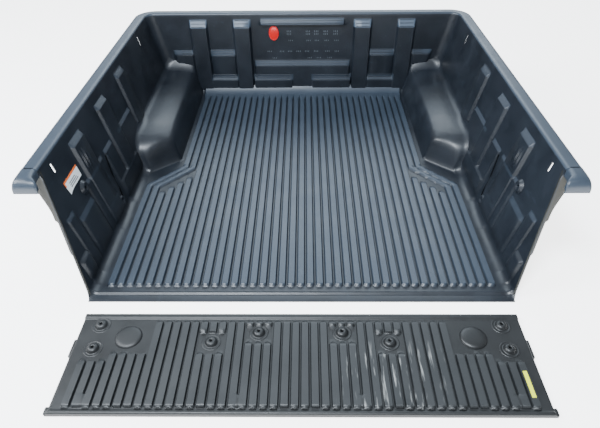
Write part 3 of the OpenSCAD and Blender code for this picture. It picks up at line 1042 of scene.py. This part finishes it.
def makeGate():
    sheet = gridMesh("gateSheet", buildGate(), flip=True)
    near = gate["near"]

    def span(k, a, b):
        x = (k + 0.5) * gate["pitch"]
        return [[(s * x, near - a - 0.008), (s * x, near - b + 0.008)] for s in (1, -1)]

    paths = []
    end = gate["ribEnd"]
    for k in range(23):
        runs = [(0.034, end)]
        if 3 <= k <= 5:
            runs = [(0.034, 0.049), (0.114, end)]
        elif 8 <= k <= 10:
            runs = [(0.034, 0.077), (0.152, end)]
        elif 16 <= k <= 19:
            runs = [(0.152, end)]
        elif k >= 20:
            runs = [(0.178, end)]
        for a, b in runs:
            paths += span(k, a, b)
    lines = linesObject("gateRibLines", paths)
    sheet = applyTree(sheet, raiseRibs, {
        "Ribs across": 0, "Pitch": gate["pitch"], "Rear end": 0.0, "Front end": 0.01,
        "Other rib lines": lines, "Height": gate["height"], "Foot half": gate["footHalf"],
        "Crown half": gate["crownHalf"], "Flare": 0.0, "Flare start": 5.0, "Flare end": 6.0,
        "Finish": gatePlastic}, "gate_sheet")
    remove(lines)
    mergeClose(sheet)
    thicken(sheet, gate["sheet"])
    smoothShade(sheet, 50)
    return sheet


gateSheet = makeGate()
print("tailgate liner made", len(gateSheet.data.polygons))

# raised boss with a dished ring and a hole
bossLine = [(0.0310, -0.0006), (0.0295, 0.0012), (0.0272, 0.0017), (0.0250, 0.0008),
            (0.0222, 0.0002), (0.0200, 0.0008), (0.0184, 0.0032), (0.0166, 0.0066),
            (0.0140, 0.0094), (0.0108, 0.0110), (0.0074, 0.0114), (0.0052, 0.0106),
            (0.0042, 0.0090), (0.0042, -0.0010)]
gateBoss = lathe("gateBoss", bossLine[::-1], 40)
spots = pointsObject("gateSpots", [(s * x, gate["near"] - d, gate["rise"])
                                   for x, d in gate["holes"] for s in (1, -1)])
gateBosses = applyTree(spots, setMouldings, {"Moulding": gateBoss, "Finish": gatePlastic},
                       "gate_bosses")

# low round dome
discX, discIn, discR = gate["disc"]
discLine = [(0.0, 0.0086), (0.012, 0.0085), (0.022, 0.0082), (discR - 0.0130, 0.0076),
            (discR - 0.0075, 0.0066), (discR - 0.0035, 0.0048), (discR - 0.0010, 0.0026),
            (discR, 0.0005), (discR + 0.0014, -0.0008)]
disc = lathe("disc", discLine[::-1], 64)
spots = pointsObject("discSpots", [(s * discX, gate["near"] - discIn, gate["rise"])
                                   for s in (1, -1)])
gateDiscs = applyTree(spots, setMouldings, {"Moulding": disc, "Finish": gatePlastic},
                      "gate_discs")
remove(gateBoss, disc)


def slab(name, x0, x1, y0, y1, top, r):
    # a low block with rounded upper edges, closed below
    corners = ((x1 - r, y1 - r, 0), (x0 + r, y1 - r, 90), (x0 + r, y0 + r, 180),
               (x1 - r, y0 + r, 270))
    rings = []
    for inset, z in ((0, 0.0), (0, top - r), (r * 0.3, top - r * 0.3), (r, top)):
        ring = []
        for cx, cy, t0 in corners:
            for k in range(5):
                t = math.radians(t0 + 90 * k / 4)
                ring.append((cx + (r - inset) * math.cos(t), cy + (r - inset) * math.sin(t), z))
        rings.append(ring)
    pts = np.array(rings)
    centre = np.array([[((x0 + x1) / 2, (y0 + y1) / 2, top)] * pts.shape[1]])
    under = np.array([[((x0 + x1) / 2, (y0 + y1) / 2, 0.0)] * pts.shape[1]])
    obj = gridMesh(name, np.concatenate([under, pts, centre]), wrap=True)
    mergeClose(obj)
    obj.data.materials.append(gatePlastic)
    return obj


# an ear at each end of the lip, and a tab on each side: x from and to, y from and to, top
far = gate["near"] - gate["depth"]
ears = {"lip": (0.692, 0.7099, far + 0.0005, far + 0.024, 0.0125),
        "side": (0.694, 0.7079, gate["near"] - 0.160, gate["near"] - 0.096, 0.0105),
        "round": 0.0045}
slabs = []
for s in (1, -1):
    for x0, x1, y0, y1, top in (ears["lip"], ears["side"]):
        a, b = sorted((s * x0, s * x1))
        slabs.append(slab("ear", a, b, y0, y1, top, ears["round"]))
gateEars = joinAll("gate_ears", slabs)
smoothShade(gateEars, 45)

# cups pressed into the side walls round their fixing holes
lean = math.atan(bed["flare"] / bed["wallHeight"])
cup = {"line": [(0.0270, -0.0030), (0.0240, -0.0004), (0.0200, 0.0042), (0.0175, 0.0066),
                (0.0150, 0.0076), (0.0120, 0.0072), (0.0090, 0.0050), (0.0062, 0.0042),
                (0.0044, 0.0034), (0.0042, -0.0030)],
       "holes": ((0.279, 0.252), (0.446, 0.058)), "standIn": 0.004}
sideBoss = lathe("sideBoss", cup["line"][::-1], 32)
places, turns = [], []
for s in (1, -1):
    for y, z in cup["holes"]:
        places.append((s * (wallX(z) - cup["standIn"]), y, z))
        turns.append((0, -s * (math.pi / 2 - lean), 0))
spots = pointsObject("sideSpots", places, turns)
sideBosses = applyTree(spots, setMouldings, {"Moulding": sideBoss, "Finish": tubPlastic},
                       "side_cups")
remove(sideBoss)
for piece in (gateSheet, gateBosses, gateDiscs, gateEars):
    declare(piece, "tailgate_panel", "tailgate_liner")
declare(sideBosses, "bed_tub", "tub")
print("mouldings set")


badgeRed = plainFinish("badgeRed", (0.62, 0.004, 0.003), 0.30, 0.10, 60, 0.05, 0.6)
labelWhite = plainFinish("labelWhite", (0.80, 0.84, 0.86), 0.5, 0.03, 90, 0.2)
labelOrange = plainFinish("labelOrange", (0.80, 0.16, 0.03), 0.5, 0.05, 90, 0.2)
tagYellow = plainFinish("tagYellow", (0.80, 0.84, 0.02), 0.5, 0.10, 120, 0.2)
foamBlack = plainFinish("foamBlack", (0.012, 0.012, 0.013), 0.9, 0.3, 900, 0.9)
markGrey = plainFinish("markGrey", (0.13, 0.15, 0.17), 0.50, 0.2, 200, 0.2)
# near-black, barely shiny bead finish that paints the shadow in the side walls' grooves
grooveShadowBlack = plainFinish("grooveShadowBlack", (0.0008, 0.0009, 0.0011), 0.9, 0.2, 200, 0.2)
grooveShadowBlack.node_tree.nodes["Principled BSDF"].inputs["Specular IOR Level"].default_value = 0.08

badge = {"x": -0.150, "z": 0.339, "halfWide": 0.026, "halfHigh": 0.039, "rise": 0.0052}


def makeBadge():
    # rings out from the back's middle, then in over a raised border: share of width, of height
    rings = [(0.0, 0.0), (1.0, 0.0), (0.995, 0.35), (0.96, 0.62), (0.92, 0.66), (0.88, 0.56),
             (0.84, 0.54), (0.7, 0.74), (0.5, 0.90), (0.3, 0.98), (0.1, 1.0), (0.0, 1.0)]
    a = np.linspace(0, 2 * math.pi, 48, endpoint=False)
    pts = np.zeros((len(rings), 48, 3))
    back = frontY(badge["z"]) - 0.0002
    for k, (r, h) in enumerate(rings):
        pts[k, :, 0] = badge["x"] + badge["halfWide"] * r * np.cos(a)
        pts[k, :, 1] = back - badge["rise"] * h
        pts[k, :, 2] = badge["z"] + badge["halfHigh"] * r * np.sin(a)
    obj = gridMesh("badge_oval", pts, wrap=True, flip=True)
    mergeClose(obj)
    obj.data.materials.append(badgeRed)
    smoothShade(obj, 60)
    return obj


badgeOval = makeBadge()
declare(badgeOval, "header_badge", "tub")

# fine ribs along the front wall's ledges, plain raised marks in its middle panel, and near-black
# beads that paint the shadow in the side walls' grooves; each row of marks: height, places across,
# height of a mark, lines
detail = {"fine": 0.0016, "mark": 0.0013, "grooveShadow": 0.0045,
          "grooveShadowFrom": (0.504, 0.236), "grooveShadowTo": (0.462, 0.069),
          "rows": [[0.352, [-0.070, 0.030, 0.074, 0.124, 0.176], 0.020, 2],
                   [0.302, [-0.062, 0.034, 0.078, 0.130, 0.182], 0.014, 1],
                   [0.243, [-0.176, -0.110, -0.066, -0.020, 0.026, 0.074, 0.136, 0.186], 0.016, 1],
                   [0.205, [-0.151, 0.040, 0.090, 0.148], 0.012, 1]]}


def makeDetails():
    fine, marks, grooveShadows = [], [], []
    for side in (1, -1):
        for start, end, top, ledge, _ in frontPanels:
            for k in (0.12, 0.50, 0.88):
                z = top - ledge * k
                y = frontY(z) - float(frontRelief(side * (start + end) / 2, z)) + 0.0004
                if start > 0:
                    fine.append([(side * (start + 0.012), y, z), (side * (end - 0.012), y, z)])
                elif side > 0:
                    fine.append([(start + 0.012, y, z), (end - 0.012, y, z)])
        # a near-black bead along each side wall's groove paints the shadow in it
        y0, z0 = detail["grooveShadowFrom"]
        y1, z1 = detail["grooveShadowTo"]
        path = []
        for k in np.linspace(0, 1, 22):
            y, z = y0 + (y1 - y0) * k, z0 + (z1 - z0) * k
            path.append((side * (wallX(z) - float(sideRelief(y, z)) + 0.0022), y, z))
        grooveShadows.append(path)
    for z in (0.393, 0.404):
        y = frontY(z) - float(frontRelief(0.0, z)) + 0.0004
        fine.append([(-0.212, y, z), (0.212, y, z)])
    for z, places, high, rows in detail["rows"]:
        for x in places:
            for k in range(3):
                for r in range(rows):
                    at = z - r * 0.014
                    y = frontY(at) - float(frontRelief(x, at)) + 0.0006
                    markX = x + 0.009 * (k - 1)
                    marks.append([(markX, y, at), (markX, y, at - high * 0.45)])
    for name, paths, radius, finish in (("header_fine_ribs", fine, detail["fine"], tubPlastic),
                                        ("header_marks", marks, detail["mark"], markGrey),
                                        ("wall_seams", grooveShadows, detail["grooveShadow"], grooveShadowBlack)):
        o = applyTree(edgesObject(name, paths), drawBeads,
                      {"Radius": radius, "Finish": finish}, name)
        smoothShade(o, 50)
        declare(o, "bed_tub", "tub")


makeDetails()
print("front wall details made")

label = {"rear": 0.192, "front": 0.305, "low": 0.287, "high": 0.332, "band": 0.82,
         "curl": 0.006, "paper": 0.0003}


def makeLabel():
    # a printed sheet with an orange upper band, its rear lower corner lifting off
    cols, rows = 16, 12
    pts = np.zeros((rows + 1, cols + 1, 3))
    for r in range(rows + 1):
        for c in range(cols + 1):
            u, v = c / cols, r / rows
            y = label["rear"] + (label["front"] - label["rear"]) * u
            z = label["low"] + (label["high"] - label["low"]) * v
            lift = 0.0006 + label["curl"] * max(0.0, 1 - u * 2.6 - v * 0.9) ** 2
            x = wallX(z) - float(sideRelief(y, z)) - lift
            pts[r, c] = (-x, y, z)
    obj = gridMesh("label_sheet", pts)
    obj.data.materials.append(labelWhite)
    obj.data.materials.append(labelOrange)
    obj.data.materials.append(markGrey)
    for f in obj.data.polygons:
        r, c = divmod(f.index, cols)
        if r >= rows * label["band"] or c == 0 and r > rows * 0.55:
            f.material_index = 1
        elif r in (2, 4, 6) and 4 <= c <= 13 - r // 2:
            f.material_index = 2
    thicken(obj, label["paper"])
    return obj


labelSheet = makeLabel()
declare(labelSheet, "wall_label", "tub")

for node, finish in (("tailgate_tag", tagYellow), ("rail_foam_left", foamBlack),
                     ("rail_foam_right", foamBlack), ("header_foam", foamBlack)):
    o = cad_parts[node]
    o.data.materials.clear()
    o.data.materials.append(finish)
print("small pieces made")


# camera: lens and sensor in millimetres, angles in degrees
view = {"lens": 30.27, "sensor": 36, "pitch": 40.075, "yaw": -0.837, "roll": -0.611,
        "place": (0.0170, -1.1408, 1.3210), "farthest": 100}


def setCamera():
    cam = bpy.data.cameras.new("camera")
    obj = addObject("camera", cam)
    p, w, r = (math.radians(view[k]) for k in ("pitch", "yaw", "roll"))
    ahead = Vector((math.sin(w) * math.cos(p), math.cos(w) * math.cos(p), -math.sin(p)))
    right = Vector((math.cos(w), -math.sin(w), 0))
    up = right.cross(ahead)
    right2 = right * math.cos(r) + up * math.sin(r)
    up2 = -right * math.sin(r) + up * math.cos(r)
    m = Matrix((right2, up2, -ahead)).transposed().to_4x4()
    x, y, z = view["place"]
    m.translation = Vector((x, y + sillY, z))
    obj.matrix_world = m
    cam.sensor_width = view["sensor"]
    cam.lens = view["lens"]
    cam.clip_end = view["farthest"]
    bpy.context.scene.camera = obj


def areaLight(name, place, target, size, power, colour):
    light = bpy.data.lights.new(name, "AREA")
    light.shape = "RECTANGLE"
    light.size, light.size_y = size
    light.energy = power
    light.color = colour
    obj = addObject(name, light)
    obj.location = place
    obj.rotation_euler = (Vector(target) - Vector(place)).to_track_quat("-Z", "Y").to_euler()


# each light: place, what it points at, size, watts, colour
lights = {"skyAhead": ((0.2, 8.0, 5.8), (0, 0.2, 0), (8.0, 6.0), 700, (0.78, 0.90, 1.0)),
          "overCamera": ((-0.8, -1.9, 3.6), (0, 0.2, 0.1), (1.1, 0.8), 290, (0.84, 0.92, 1.0)),
          "leftSky": ((-3.2, -0.6, 2.9), (0.6, 0.2, 0.2), (1.6, 1.4), 210, (0.90, 0.95, 1.0))}
room = {"colour": (0.88, 0.94, 1.0, 1), "strength": 0.6,
        "groundHalf": 30, "groundZ": -0.0006, "groundGlow": 3.2}

setCamera()
for name, settings in lights.items():
    areaLight(name, *settings)

world = bpy.data.worlds.new("paleRoom")
world.use_nodes = True
world.node_tree.nodes["Background"].inputs["Color"].default_value = room["colour"]
world.node_tree.nodes["Background"].inputs["Strength"].default_value = room["strength"]
bpy.context.scene.world = world

h, z = room["groundHalf"], room["groundZ"]
groundMesh = bpy.data.meshes.new("ground")
groundMesh.from_pydata([(-h, -h, z), (h, -h, z), (h, h, z), (-h, h, z)], [], [(0, 1, 2, 3)])
ground = addObject("ground", groundMesh)
paleGround = plainFinish("paleGround", (0.93, 0.93, 0.93), 0.9, 0.005, 2, 0.0)
glow = paleGround.node_tree.nodes["Principled BSDF"].inputs
glow["Emission Color"].default_value = (1, 1, 1, 1)
glow["Emission Strength"].default_value = room["groundGlow"]
groundMesh.materials.append(paleGround)
print("camera and lights set")
